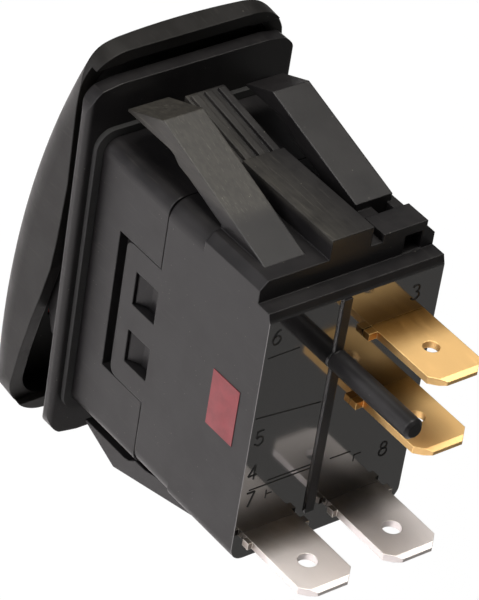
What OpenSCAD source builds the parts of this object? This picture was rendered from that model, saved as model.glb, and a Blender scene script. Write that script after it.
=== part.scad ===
// Snap-in panel rocker switch with four blade terminals.
// Row frame, in mm: origin at the centre of the panel opening, on the flange's underside.
// X runs across the switch, Y from the rocker (-Y) to the terminals (+Y), Z along the rocker.

/* [Flange and panel] */
// Flange width across X
flange_w = 24.5; // [22:0.1:28]
// Flange length along Z, at the middle of its arched ends
flange_l = 43.5; // [40:0.1:52]
// Flange thickness
flange_t = 1.6; // [1:0.1:3]
// Radius of the flange's arched ends
arch_r = 58; // [40:1:120]
// Radius of the flange's corners
corner_r = 2.8; // [1:0.1:4]
// Rounding of the flange's rim
rim_r = 0.6; // [0.2:0.05:0.75]
// Sealing gasket thickness
gasket_t = 0.6; // [0.4:0.1:1.5]
// Width of the gasket around the body
gasket_w = 0.9; // [0.5:0.1:3]

/* [Body] */
// Body width across X
body_w = 20.7; // [18:0.1:22]
// Depth from the flange's underside to the rear face
body_d = 27.7; // [24:0.1:34]
// Height of the body's roof above the centre
roof_z = 15.4; // [14:0.1:18]
// Depth of the body's floor below the centre
floor_z = 16.8; // [14:0.1:18]
// Wall thickness of the base
wall = 1.4; // [1:0.1:2]
// Side wall thickness of the bezel frame
frame_wall = 1.95; // [1.6:0.05:2.4]
// Depth at which the bezel frame ends and the base begins
seam_y = 11.4; // [8:0.1:14]
// Rounding of the body's long edges
edge_r = 1.6; // [0.5:0.1:2.5]
// Chamfer of the base's upper long edges
edge_c = 0.9; // [0.4:0.1:1.5]
// Bevel along the rear block's top edge
step_c = 1.0; // [0.4:0.1:1.5]
// Depth of the step along the top of the rear face
step_d = 2.1; // [1:0.1:3]
// Height of the step's shelf above the centre
step_z = 13.1; // [12:0.1:14]

/* [Snap joint] */
// Half height of the side tongues
tongue_h = 8.1; // [6:0.1:10]
// Height of the tongues' middle below the centre
tongue_drop = 0.7; // [-2:0.1:2]
// Depth at which the tongues' front edge lies
tongue_y = 5.95; // [5:0.05:8]
// Width of the open slot in front of each tongue
slot_w = 1.3; // [0.5:0.1:2]
// Tongue thickness
tongue_t = 1.1; // [0.8:0.05:1.2]
// Length of each snap window along Y
window_l = 3.6; // [2.5:0.1:4]
// Height of each snap window
window_h = 3.9; // [3:0.1:5]
// Distance between the two windows' middles
window_gap = 6.95; // [5:0.05:9]

/* [Retaining wings] */
// Wing width
wing_w = 4.7; // [3:0.1:6]
// Distance of each wing's outer edge from the middle
wing_x = 8.6; // [7:0.1:9.5]
// How far the upper wings' peaks stay inside the flange's end
wing_in = 0.8; // [0:0.05:3]
// How far the lower wings' peaks stay inside the flange's end
wing_in_low = 0.45; // [0:0.05:3]
// Depth of the wings' peaks
wing_peak_y = 6.5; // [4:0.1:9]
// Depth of the wings' free ends
wing_tip_y = 1.2; // [0.9:0.1:3]
// Height from the wings' free ends to their peaks
wing_rise = 2.05; // [1:0.05:4]
// Depth where the wings join the body
wing_root_y = 23.75; // [20:0.05:25]
// Wing thickness
wing_t = 1.9; // [1.2:0.1:2.5]
// Width of the short wing
short_w = 4.4; // [3:0.1:6]
// Distance of the short wing's outer edge from the middle
short_x = 8.8; // [7:0.1:9.5]
// How much lower the short wing's peak is
short_drop = 0.6; // [0:0.05:2]
// Depth of the short wing's rear end
short_y = 20.6; // [18:0.1:22]
// Depth of the short wing's free end
short_tip_y = 2.6; // [0.9:0.1:4]
// Width of the middle block
block_w = 4.9; // [3:0.1:6]
// Height of the middle block above the roof
block_h = 2.25; // [1:0.05:3]
// Thickness of the bridge behind the short wing
bridge_t = 0.85; // [0.5:0.05:1.5]

/* [Terminals] */
// Blade width
tab_w = 6.35; // [4.8:0.05:6.35]
// Blade thickness
tab_t = 0.8; // [0.5:0.1:1]
// Blade length beyond the rear face
tab_l = 9.9; // [7.9:0.05:12]
// Lamp blade length beyond the rear face
lamp_tab_l = 10.2; // [7.9:0.05:12]
// Corner chamfer of each blade's end
tab_c = 1.4; // [0.5:0.1:1.6]
// Length of the bevel at each blade's end
tab_bevel = 0.6; // [0.3:0.05:1]
// Hole radius
tab_hole_r = 0.85; // [0.8:0.05:1.2]
// Hole radius of the lamp blades
lamp_hole_r = 1.0; // [0.8:0.05:1.2]
// Distance from a hole's middle to the blade's end
tab_hole_in = 4.8; // [3:0.05:6]
// Distance from a lamp blade's hole to its end
lamp_hole_in = 4.1; // [3:0.05:6]
// Column of the contact terminals across X
contact_x = -5.6; // [-6.5:0.05:-5]
// Height of terminal 3
term3_z = 7.1; // [5:0.05:9]
// Height of terminal 2
term2_z = -1.3; // [-3:0.05:0]
// Height of lamp terminals 7 and 8
lamp_z = -13.9; // [-14.2:0.05:-12]
// Column of terminal 7 across X
term7_x = 6.05; // [4.5:0.05:6.5]
// Column of terminal 8 across X
term8_x = -4.25; // [-6:0.05:-4]

/* [Rear rib and post] */
// Rib's middle across X
rib_x = 1.34; // [0:0.01:2.5]
// Rib thickness
rib_w = 1.05; // [0.6:0.05:1.5]
// How far the rib stands out of the rear face
rib_h = 0.25; // [0.1:0.05:1]
// Post radius
post_r = 1.1; // [0.8:0.05:1.5]
// Post length beyond the rear face
post_l = 12.0; // [8:0.1:13]
// Post height above the centre
post_z = 4.95; // [3:0.05:6.5]

/* [Rocker] */
// How far the rocker stands out beyond the flange on each side
over_x = 0; // [0:0.05:2]
// How far the rocker stands out beyond the flange at each end
over_z = 2.85; // [0:0.05:4]
// Rocker wall thickness
rocker_wall = 1.4; // [1:0.1:2]
// Radius of the face along Z
face_r = 92.3; // [60:0.1:120]
// Depth of the face arc's centre
face_cy = 81.1; // [50:0.1:110]
// Height of the face arc's centre
face_cz = -4.8; // [-6:0.1:6]
// Radius of the face's crown across X
crown_r = 85; // [18:1:200]
// Rounding between the face and the sides
side_r = 3.8; // [1.6:0.1:4]
// Depth of the rim at the rocker's middle
rim_mid_y = -2.75; // [-5:0.05:-2]
// Depth of the rim at the rocker's ends
rim_end_y = -4.9; // [-7:0.05:-3]
// Depth of the rim across the ends
end_rim_y = -4.15; // [-6:0.05:-3]
// Radius of the rocker's corners
rocker_corner = 5; // [2:0.1:8]
// Travel from one end pressed to the other, in degrees
travel = 14; // [8:0.5:20]
// Depth of the hinge axis
hinge_y = -4.0; // [-6:0.1:0]
// Hinge pin radius
pin_r = 1.0; // [0.6:0.05:1.4]
// Radial clearance of the rocker on its pins
run_clear = 0.05; // [0.02:0.01:0.1]
// Lens length across X
lens_l = 11; // [6:0.5:16]
// Lens height along Z
lens_h = 2.6; // [1.5:0.1:5]
// Height of the lenses' middles above and below the centre
lens_z = 14.5; // [8:0.1:18]

/* [Lamp] */
// Lamp's middle across X
led_x = 1.2; // [0.5:0.1:3]
// Height of the lamp
led_z = -9.5; // [-11:0.1:-7]
// Lamp radius
led_r = 1.5; // [1:0.1:2]
// Lamp length
led_l = 4.4; // [3:0.1:5]
// Distance between the lamp's leads
lead_pitch = 1.6; // [1:0.1:2.54]
// Lead radius
lead_r = 0.25; // [0.15:0.05:0.4]
// Holder thickness
holder_t = 2; // [1:0.1:3]
// Resistor length
resistor_l = 3.6; // [2.5:0.1:6]

/* [Contact mechanism] */
// Plunger radius
plunger_r = 1.48; // [1:0.02:2]
// Depth of the plunger's tip with the rocker level
plunger_tip_y = 13.0; // [11:0.1:14]
// Gap between the plunger and the level blade
tip_gap = 0.3; // [0.1:0.05:0.5]
// Tilt of the contact blade to each side, in degrees
blade_tilt = 10; // [5:0.5:14]
// Contact blade width
blade_w = 5; // [3:0.1:6]
// Contact blade thickness
blade_t = 0.8; // [0.4:0.1:1.2]
// Half length of the contact blade
blade_h = 7.6; // [6:0.1:9]
// Contact button radius
button_r = 1.5; // [1:0.1:2]
// Contact button height
button_t = 0.9; // [0.4:0.1:1.2]
// Distance of the buttons from the blade's axle
button_z = 5.6; // [4:0.1:7]
// Gap left between the buttons when closed
contact_gap = 0.3; // [0.1:0.05:0.6]

/* [Side mark] */
// Distance of the mark from the rear face
mark_in = 2.45; // [1:0.05:6]
// Mark length along Y
mark_l = 4.15; // [2:0.05:6]
// Mark length along Z
mark_h = 6.5; // [3:0.05:8]
// Height of the mark's middle below the centre
mark_drop = 0.9; // [-3:0.05:3]

/* [Hidden] */
$fn = 48;
e = 0.01;                       // overlap of cutting tools
fit = 0.05;                     // clearance of pieces that seat in each other
gap = 0.3;                      // clearance of pieces that move past each other
hx = body_w / 2;                // half body width
tilt = travel / 2;              // rest tilt of the rocker
rear = body_d;
rocker_w = flange_w + 2 * over_x;
rocker_l = flange_l + 2 * over_z;
tongue_lo = -tongue_drop - tongue_h;
tongue_hi = -tongue_drop + tongue_h;
window_y = seam_y + 0.1 - window_l;
inner_x = hx - frame_wall;      // half width inside the frame
recess_x = hx - tongue_t - 0.03;
step_y = rear - step_d;
turn_y = seam_y + step_d * 2.7; // depth where the rounded edge gives way to the chamfer
wing_z = flange_l / 2 - wing_in;
low_z = flange_l / 2 - wing_in_low;
inside_y = rear - wall - gap;   // inner face of the rear wall
ear_t = wall + 0.2;             // thickness of the rocker's ears
ear_x = inner_x - gap - fit;    // outer face of the rocker's ears
ear_r = pin_r + 1.4;
lug_y = hinge_y - pin_r - 1.2;  // how far the frame's lugs rise
lug_z = tongue_h + 3.7;         // half height of the lugs at their foot
lug_x = min(hx + 0.1, rocker_w / 2 - rocker_wall - gap);  // outer face of the lugs
pin_in = min(pin_r * 1.4, lug_x - inner_x - gap);  // how far the pins reach into the lugs
boss_r = plunger_r + wall * 0.6;
boss_y = seam_y - 3.4;
bore_y = hinge_y + pin_r + 0.6;
seal_y = boss_y + 1.2;          // front of the seal diaphragm
seal_t = gasket_t * 3;
seal_open = (seal_y + seal_t - hinge_y) * sin(tilt) + plunger_r + gap;
blade_y = plunger_tip_y + tip_gap;          // front face of the level blade
axle_y = blade_y + blade_t + 0.9;
axle_r = 0.5;
barrel_r = 2 * axle_r;
fixed_y = blade_y + blade_t + button_t + contact_gap;  // face of the fixed contact
bend_y = inside_y - 2.6;         // where the lamp leads turn down
holder_y = bend_y - lead_r - resistor_l - holder_t - 2 * gap;  // front of the lamp holder

// ---- helpers ----

// A 2D shape in X and Z, made solid from depth y0 to y1.
module slab(y0, y1) translate([0, y1, 0]) rotate([90, 0, 0]) linear_extrude(y1 - y0) children();

// A 2D shape in Y and Z, made solid from x0 to x1.
module prof(x0, x1) translate([x0, 0, 0]) rotate([90, 0, 90]) linear_extrude(x1 - x0) children();

// A box given by its two corners.
module span(a, b) translate(a) cube(b - a);

// A cylinder along Y from y0 to y1.
module rod_y(x, z, y0, y1, r) translate([x, y1, z]) rotate([90, 0, 0]) cylinder(r = r, h = y1 - y0);

// A cylinder along X from x0 to x1.
module rod_x(y, z, x0, x1, r) translate([x0, y, z]) rotate([0, 90, 0]) cylinder(r = r, h = x1 - x0);

// Turn about an X axis through depth y, at height 0.
module turn(y, a) translate([0, y, 0]) rotate([a, 0, 0]) translate([0, -y, 0]) children();

// Rectangle with four round corners.
module round_rect(x0, x1, z0, z1, r) {
    translate([x0 + r, z0]) square([x1 - x0 - 2 * r, z1 - z0]);
    translate([x0, z0 + r]) square([x1 - x0, z1 - z0 - 2 * r]);
    for (x = [x0 + r, x1 - r], z = [z0 + r, z1 - r]) translate([x, z]) circle(r);
}

// Flange outline: round corners and arched ends.
module arched(w, l, r) intersection() {
    round_rect(-w / 2, w / 2, -l / 2 + 0.65, l / 2 - 0.65, r);
    translate([0, l / 2 - arch_r]) circle(arch_r, $fn = 240);
    translate([0, arch_r - l / 2]) circle(arch_r, $fn = 240);
}

// Plate with the flange's outline and a rounded rim, from depth y0 to y1.
module rimmed(w, l, r, y0, y1) intersection() {
    slab(y0, y1) arched(w, l, r);
    linear_extrude(l + 2, center = true) round_rect(-w / 2, w / 2, y0, y1, rim_r);
    for (s = [-1, 1]) translate([0, 0, s * (l / 2 - arch_r)]) rotate([90, 0, 0])
        rotate_extrude($fn = 240) disc_half(y0, y1);
}

// Half section of the disc whose rim gives the flange's arched ends.
module disc_half(y0, y1) {
    translate([0, -y1]) square([arch_r - rim_r, y1 - y0]);
    translate([0, rim_r - y1]) square([arch_r, y1 - y0 - 2 * rim_r]);
    for (y = [rim_r - y1, -y0 - rim_r]) translate([arch_r - rim_r, y]) circle(rim_r);
}

// Body outline with rounded long edges.
module body_outline(r) round_rect(-hx, hx, -floor_z, roof_z, r);

// ---- bezel frame ----

module side_recess() {
    span([recess_x, tongue_y - slot_w, tongue_lo - fit], [hx + 1, seam_y + 1, tongue_hi + fit]);
}

module hook(z) {
    translate([0, 0, z - window_h / 2 + 0.15]) linear_extrude(window_h - 0.3)
        polygon([[recess_x - 0.2, window_y + 0.12], [hx - 0.3, window_y + 0.12],
            [recess_x, window_y + 1.5], [recess_x - 0.2, window_y + 1.5]]);
}

module bezel_frame() color([0.30, 0.28, 0.27]) {
    difference() {
        union() {
            rimmed(flange_w, flange_l, corner_r, -flange_t, 0);
            slab(-flange_t / 2, seam_y - fit) body_outline(edge_r);
            // lugs that carry the rocker's hinge pins
            for (s = [-1, 1]) scale([s, 1, 1]) prof(inner_x, lug_x) polygon([[-1, -lug_z],
                [-1, lug_z], [hinge_y * 0.95, lug_z * 0.9], [lug_y, lug_z / 3],
                [lug_y, -lug_z / 3], [hinge_y * 0.95, -lug_z * 0.9]]);
        }
        slab(lug_y - 1, seam_y + 1) round_rect(-inner_x, inner_x, -floor_z + wall,
            roof_z - wall, wall / 2);
        for (s = [-1, 1]) scale([s, 1, 1]) {
            side_recess();
            rod_x(hinge_y, 0, inner_x - 1, inner_x + pin_in + fit, pin_r + e);
        }
    }
    for (s = [-1, 1], k = [-1, 1]) scale([s, 1, 1]) hook(-tongue_drop + k * window_gap / 2);
}

// ---- base housing ----

// Side view of a wing that leans from its root to its peak, hooked at the free end.
module wing_side(peak_z, tip_y, root_y, root_z, base_z) {
    slope = (peak_z - root_z) / (root_y - wing_peak_y);
    tip_z = peak_z - wing_rise * (wing_peak_y - tip_y) / (wing_peak_y - wing_tip_y);
    hook_z = tip_z - wing_t / 8;                    // flat underside of the hook
    hook_y = wing_peak_y + wing_t * 0.8;
    knee_y = root_y - (root_y - wing_peak_y) * 0.4; // where the arm meets the body
    polygon([[tip_y, hook_z], [tip_y, tip_z], [wing_peak_y, peak_z], [root_y, root_z],
        [root_y, base_z - wall / 2], [knee_y, base_z - wall / 2],
        [knee_y, peak_z - wing_t - slope * (knee_y - wing_peak_y)],
        [hook_y + wing_t * 1.8, peak_z - wing_t - slope * (hook_y + wing_t * 1.8 - wing_peak_y)],
        [hook_y + wing_t * 0.9, hook_z - wing_t * 0.45], [hook_y + wing_t * 0.4, hook_z - wing_t * 0.1],
        [hook_y, hook_z]]);
}

// Upper wing at full length.
module long_wing() prof(wing_x - wing_w, wing_x)
    wing_side(wing_z, wing_tip_y, wing_root_y, roof_z, roof_z);

// Upper wing that ends ahead of the bridge.
module short_wing() prof(-short_x, short_w - short_x) wing_side(wing_z - short_drop, short_tip_y,
    short_y, roof_z + bridge_t, roof_z);

// Lower wing.
module low_wing() prof(wing_x - wing_w, wing_x)
    wing_side(low_z, wing_tip_y, wing_root_y, floor_z, floor_z);

// Middle block with the ridged tongue in front of it.
module middle_block(base_z) {
    top = base_z + block_h;
    w = block_w / 2;
    front = wing_tip_y + 0.5;
    back = seam_y + 1;
    span([-w, seam_y + 0.1, base_z - 0.5], [w, step_y, top]);
    prof(-w + 0.15, w - 0.15) polygon([[front, top + 1.2], [back, top - 0.6], [back, top - 1.9],
        [front, top + 0.1]]);
    for (k = [-1, 0, 1]) prof(k * block_w / 3 - 0.4, k * block_w / 3 + 0.4) polygon([
        [front + 0.5, top + 1.5], [back - 0.4, top - 0.1], [back - 0.4, top - 1],
        [front + 0.5, top + 0.6]]);
}

module base_shell() difference() {
    union() {
        slab(seam_y + fit, turn_y) body_outline(edge_r + 0.5);
        slab(turn_y - e, step_y) base_outline();
        slab(step_y - e, rear) rear_outline();
        for (s = [-1, 1]) scale([s, 1, 1]) prof(hx - tongue_t, hx)
            tongue_outline(tongue_y, seam_y + 1, tongue_lo, tongue_hi, 1);
    }
    // main hollow, kept clear of the rear step
    span([-hx + wall, seam_y - 1, -floor_z + wall], [hx - wall, inside_y, step_z - wall]);
    span([-hx + wall, seam_y - 1, -floor_z + wall], [hx - wall, step_y - 2 * wall, roof_z - wall]);
    for (s = [-1, 1], k = [-1, 1]) scale([s, 1, 1])
        translate([hx - 2, window_y, -tongue_drop + k * window_gap / 2 - window_h / 2])
            cube([3, window_l, window_h]);
    // bevel along the rear block's top edge
    prof(-hx - 1, hx + 1) polygon([[rear - step_c / 3, step_z + e], [rear + 1, step_z + e],
        [rear + 1, step_z - step_c], [rear + e, step_z - step_c]]);
    // pocket in the step's face, hole in the roof
    span([-short_x, step_y - wall, step_z + 0.1], [wing_t / 2 - wing_x + 1, step_y + 1, roof_z - 0.2]);
    span([-short_x + 0.5, short_y, roof_z - 2], [-short_x + 2.4, short_y + 1.5, roof_z + 3]);
    for (t = [[contact_x, term3_z], [contact_x, term2_z], [term7_x, lamp_z], [term8_x, lamp_z]])
        span([t[0] - tab_w / 2 - fit, inside_y - 1, t[1] - tab_t / 2 - fit],
            [t[0] + tab_w / 2 + fit, rear + 1, t[1] + tab_t / 2 + fit]);
}

// Rectangle whose two front corners are round.
module tongue_outline(y0, y1, z0, z1, r) {
    translate([y0 + r, z0]) square([y1 - y0 - r, z1 - z0]);
    translate([y0, z0 + r]) square([y1 - y0, z1 - z0 - 2 * r]);
    for (z = [z0 + r, z1 - r]) translate([y0 + r, z]) circle(r);
}

// Section behind the wings' roots: chamfered above, rounded below.
module base_outline() difference() {
    round_rect(-hx, hx, -floor_z, roof_z + edge_r, edge_r);
    translate([-hx - 1, roof_z]) square([body_w + 2, 4]);
    for (s = [-1, 1]) scale([s, 1]) polygon([[hx + e, roof_z - edge_c], [hx + e, roof_z + e],
        [hx - edge_c, roof_z + e]]);
}

module rear_outline() difference() {
    round_rect(-hx, hx, -floor_z, step_z + edge_r, edge_r);
    translate([-hx - 1, step_z]) square([body_w + 2, 4]);
}

module base_housing() color([0.27, 0.26, 0.25]) {
    base_shell();
    long_wing();
    short_wing();
    for (s = [-1, 1]) scale([s, 1, -1]) low_wing();
    middle_block(roof_z);
    scale([1, 1, -1]) middle_block(floor_z);
    // bridge behind the shorter wing
    span([-short_x - 0.4, short_y + 2, roof_z - 0.2], [-3.9, step_y, roof_z + bridge_t]);
    // rear rib and locating post
    span([rib_x - rib_w / 2, rear - 0.5, lamp_z + 0.1], [rib_x + rib_w / 2, rear + rib_h,
        step_z - step_c]);
    rod_y(rib_x, post_z, rear - 0.5, rear + post_l - 0.35, post_r);
    translate([rib_x, rear + post_l - 0.35 - e, post_z]) rotate([-90, 0, 0])
        cylinder(r1 = post_r, r2 = post_r - 0.35, h = 0.35 + e);
    // stop for the idle end of the contact blade, and the lamp chamber's wall
    span([contact_x - 1.4, axle_y + 0.55, -blade_h + 1.2], [contact_x + 1.4, rear - 1,
        -blade_h + 2.4]);
    span([-2.1, seam_y + 1, -blade_h - 0.4], [-1.3, rear - 1, step_z - wall - 0.1]);
}

// ---- gasket and seal ----

module panel_gasket() color([0.12, 0.12, 0.12]) difference() {
    slab(e, gasket_t) round_rect(-hx - gasket_w, hx + gasket_w, -floor_z - gasket_w,
        roof_z + gasket_w, edge_r + gasket_w / 2);
    slab(-1, gasket_t + 1) round_rect(-hx - fit, hx + fit, -floor_z - fit, roof_z + fit, edge_r);
}

module seal_diaphragm() color([0.15, 0.15, 0.16]) difference() {
    slab(seal_y, seal_y + seal_t) seal_outline(fit);
    slab(seal_y + seal_t / 2, seal_y + seal_t + 1) seal_outline(wall - 0.2);
    slab(seal_y - 1, seal_y + seal_t + 1) round_rect(contact_x - plunger_r - gap,
        contact_x + plunger_r + gap, -seal_open, seal_open, plunger_r);
    rod_y(led_x, led_z, seal_y - 1, seal_y + seal_t + 1, led_r + gap);
}

// The inside of the frame, drawn in by d.
module seal_outline(d) round_rect(-inner_x + d, inner_x - d, -floor_z + wall + d,
    roof_z - wall - d, wall / 2);

// ---- hinge ----

module hinge_pin_left() color([0.7, 0.71, 0.73])
    rod_x(hinge_y, 0, ear_x - ear_t, inner_x + pin_in, pin_r);

module hinge_pin_right() color([0.7, 0.71, 0.73])
    rod_x(hinge_y, 0, -inner_x - pin_in, -ear_x + ear_t, pin_r);

// ---- terminals ----

// One blade: bevelled end, cut corners, hole, and two locking ears beside it at the rear face.
module blade_tab(x, z, y0, len, hole_in, hole_r, ear_y, ear_out) difference() {
    end = rear + len;
    union() {
        translate([x, 0, z]) difference() {
            prof(-tab_w / 2, tab_w / 2) polygon([[y0, -tab_t / 2], [end - tab_bevel, -tab_t / 2],
                [end, -tab_t / 4], [end, tab_t / 4], [end - tab_bevel, tab_t / 2],
                [y0, tab_t / 2]]);
            for (s = [-1, 1]) scale([s, 1, 1]) translate([0, 0, -1]) linear_extrude(2)
                polygon([[tab_w / 2 - tab_c, end + e], [tab_w / 2 + e, end + e],
                    [tab_w / 2 + e, end - tab_c]]);
        }
        for (k = [0, 1]) translate([x + (k == 0 ? 1 : -1) * (tab_w + ear_out[k]) / 2,
            ear_y + ear_out[k] / 2, z]) cube([ear_out[k] + 2 * e, 0.9, tab_t * 0.95], center = true);
    }
    translate([x, end - hole_in, z - 1]) cylinder(r = hole_r, h = 2);
}

module contact_tab(z, out) blade_tab(contact_x, z, inside_y - 1, tab_l, tab_hole_in, tab_hole_r,
    rear, [out, e]);

module lamp_tab(x) {
    blade_tab(x, lamp_z, inside_y - 0.5, lamp_tab_l, lamp_hole_in, lamp_hole_r, rear + 0.85,
        [0.5, 0.5]);
    // narrow root inside the housing
    span([x - tab_w / 3, inside_y - 5, lamp_z - tab_t / 2], [x + tab_w / 3, inside_y,
        lamp_z + tab_t / 2]);
}

module terminal_2() color([0.83, 0.66, 0.32]) {
    contact_tab(term2_z, 0.9);
    // post that carries the contact blade's axle
    span([contact_x - 2.5, axle_y + 2, term2_z - tab_t / 2],
        [contact_x + 2.5, inside_y, term2_z + tab_t / 2]);
    prof(contact_x - 0.8, contact_x + 0.8) polygon([[axle_y, -0.6], [axle_y, 0.6],
        [axle_y + 3, 0.6], [axle_y + 3, term2_z - tab_t / 2], [axle_y + 2, term2_z - tab_t / 2]]);
    rod_x(axle_y, 0, contact_x - 0.8, contact_x + 0.8, 0.6);
    rod_x(axle_y, 0, contact_x - 2.1, contact_x + 2.1, axle_r);
}

module terminal_3() color([0.83, 0.66, 0.32]) {
    pad = fixed_y + button_t;
    contact_tab(term3_z, 1.0);
    span([contact_x - 2.5, pad + 1.6, term3_z - tab_t / 2],
        [contact_x + 2.5, inside_y, term3_z + tab_t / 2]);
    turn(axle_y, -blade_tilt) span([contact_x - 2.5, pad, button_z - 2.1],
        [contact_x + 2.5, pad + tab_t, term3_z + tab_t / 2]);
}

module terminal_7() color([0.78, 0.77, 0.75]) lamp_tab(term7_x);

module terminal_8() color([0.78, 0.77, 0.75]) lamp_tab(term8_x);

module fixed_contact() color([0.85, 0.85, 0.86]) turn(axle_y, -blade_tilt)
    rod_y(contact_x, button_z, fixed_y, fixed_y + button_t - 0.005, button_r);

// ---- lamp ----

module lamp_holder() color([0.9, 0.9, 0.88]) difference() {
    span([led_x - led_r - 0.9, holder_y, led_z - led_r - 0.9],
        [led_x + led_r + 0.9, holder_y + holder_t, led_z + led_r + 0.9]);
    for (s = [-1, 1]) rod_y(led_x + s * lead_pitch / 2, led_z, holder_y - 1, holder_y + holder_t + 1,
        lead_r + fit);
}

module led_lamp() color([0.85, 0.9, 0.95]) {
    base = holder_y - 2 * e;
    rod_y(led_x, led_z, base - led_l + led_r, base, led_r);
    translate([led_x, base - led_l + led_r, led_z]) sphere(led_r);
}

// A lead: back from the lamp, across, and down to its terminal.
module lead(x0, x1, y) {
    rod_y(x0, led_z, holder_y, y, lead_r);
    translate([x0, y, led_z]) sphere(lead_r);
    rod_x(y, led_z, min(x0, x1), max(x0, x1), lead_r);
    translate([x1, y, led_z]) sphere(lead_r);
    translate([x1, y, lamp_z + tab_t / 2 + e])
        cylinder(r = lead_r, h = led_z - lamp_z - tab_t / 2 - e);
}

module lamp_lead_a() color([0.75, 0.75, 0.75])
    lead(led_x + lead_pitch / 2, term7_x - tab_w / 5, bend_y);

module lamp_lead_b() color([0.75, 0.75, 0.75])
    lead(led_x - lead_pitch / 2, term8_x + tab_w / 5, bend_y - 4 * lead_r);

module resistor() color([0.78, 0.68, 0.5]) {
    front = holder_y + holder_t + gap;
    back = front + resistor_l;
    difference() {
        union() {
            rod_y(led_x + lead_pitch / 2, led_z, front, back, lead_r * 3);
            rod_y(led_x + lead_pitch / 2, led_z, front, front + resistor_l / 4, lead_r * 3.6);
            rod_y(led_x + lead_pitch / 2, led_z, back - resistor_l / 4, back, lead_r * 3.6);
        }
        rod_y(led_x + lead_pitch / 2, led_z, front - 1, back + 1, lead_r + 0.02);
    }
}

module red_mark() color([0.6, 0.27, 0.28]) span([hx + 0.005, rear - mark_in - mark_l,
    -mark_drop - mark_h / 2], [hx + 0.06, rear - mark_in, -mark_drop + mark_h / 2]);

// ---- rocker ----

// The crowned face over the rocker's outline, drawn in by d.
module crown_form(d) intersection() {
    slab(-20, 3) arched(rocker_w - 2 * d, rocker_l - 2 * d, rocker_corner - d / 2);
    face_turn() crown_section(d);
}

// Turns a half section about the axis of the face's long curve.
module face_turn() translate([0, face_cy, face_cz]) rotate([0, 90, 0])
    rotate_extrude($fn = 180) children();

// Half section of the crowned face.
module crown_section(d) {
    half = rocker_w / 2 - d;
    mid = face_r - crown_r;
    translate([10, -half]) square([mid, 2 * half]);
    intersection() {
        translate([mid, 0]) circle(crown_r - d, $fn = 180);
        translate([mid, -half]) square([crown_r, 2 * half]);
    }
}

// What the round shoulders take off the crowned section.
module shoulder_section() {
    x = rocker_w / 2 - side_r;
    y = sqrt(pow(crown_r - side_r, 2) - x * x);
    for (s = [-1, 1]) scale([1, s]) translate([face_r - crown_r + y, x]) difference() {
        polygon([[0, 0], [0, 4 * side_r], [4 * side_r, 4 * side_r], [4 * side_r, 4 * side_r * x / y]]);
        circle(side_r);
    }
}

// What is cut away behind the rocker's rim, which reaches further back past the flange's ends.
module rim_cut() {
    bend = rim_end_y - rim_mid_y;
    z = flange_l / 2 + 2 * gap;
    prof(-rocker_w, rocker_w) polygon([[rocker_l, -rocker_l], [rocker_l, rocker_l],
        [end_rim_y, rocker_l], [end_rim_y, z], [rim_end_y, z],
        [rim_mid_y + bend * 0.15, z * 0.42], [rim_mid_y, z * 0.1], [rim_mid_y, -z * 0.07],
        [rim_mid_y + bend * 0.25, -z * 0.26], [rim_mid_y + bend * 0.52, -z * 0.43],
        [rim_mid_y + bend * 0.78, -z * 0.65], [rim_mid_y + bend * 0.93, -z * 0.88],
        [rim_end_y, -z], [end_rim_y, -z], [end_rim_y, -rocker_l]]);
}

module lens_cut(z, c) translate([0, -10, z])
    cube([lens_l + 2 * c, 24, lens_h + 2 * c], center = true);

// Depth of the middle of the rocker's wall, at x across and height 0.
function skin_y(x) = face_cy - face_r + crown_r - sqrt(crown_r * crown_r - x * x)
    + rocker_wall / 2;

// Everything behind a plane in the rocker's wall, from x0 to x1.
module under_skin(x0, x1) linear_extrude(40, center = true)
    polygon([[x0, 20], [x0, skin_y(x0)], [x1, skin_y(x1)], [x1, 20]]);

module rocker_level() {
    difference() {
        crown_form(0);
        face_turn() shoulder_section();
        crown_form(rocker_wall);
        rim_cut();
        for (s = [-1, 1]) lens_cut(s * lens_z, fit);
    }
    difference() {
        union() {
            for (s = [-1, 1]) scale([s, 1, 1]) intersection() {
                union() {
                    rod_x(hinge_y, 0, ear_x - ear_t, ear_x, ear_r);
                    prof(ear_x - ear_t, ear_x) polygon([[hinge_y, -ear_r], [hinge_y, ear_r],
                        [-14, ear_r * 2], [-14, -ear_r * 2]]);
                }
                under_skin(ear_x - ear_t - 1, ear_x + 1);
            }
            intersection() {
                rod_y(contact_x, 0, -14, boss_y, boss_r);
                under_skin(contact_x - boss_r, contact_x + boss_r);
            }
        }
        for (s = [-1, 1]) scale([s, 1, 1]) rod_x(hinge_y, 0, ear_x - ear_t - 2, ear_x + 1,
            pin_r + run_clear);
        rod_y(contact_x, 0, bore_y, boss_y + 1, plunger_r + run_clear);
    }
}

module rocker() color([0.33, 0.31, 0.30]) turn(hinge_y, -tilt) rocker_level();

module lens(z) turn(hinge_y, -tilt) intersection() {
    difference() {
        crown_form(-0.05);
        crown_form(rocker_wall - 0.2);
    }
    lens_cut(z, 0);
}

module lens_upper() color([0.85, 0.87, 0.88]) lens(lens_z);

module lens_lower() color([0.75, 0.12, 0.10]) lens(-lens_z);

// ---- plunger, spring and contact blade ----

cup_y = boss_y - 3;             // open end of the plunger
cup_floor = cup_y + 3.4;
cup_r = plunger_r - 0.38;
coils = 7;

module plunger() color([0.9, 0.9, 0.87]) turn(hinge_y, -tilt) {
    difference() {
        rod_y(contact_x, 0, cup_y, plunger_tip_y - plunger_r, plunger_r);
        rod_y(contact_x, 0, cup_y - 1, cup_floor, cup_r);
    }
    translate([contact_x, plunger_tip_y - plunger_r, 0]) sphere(plunger_r);
}

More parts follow.
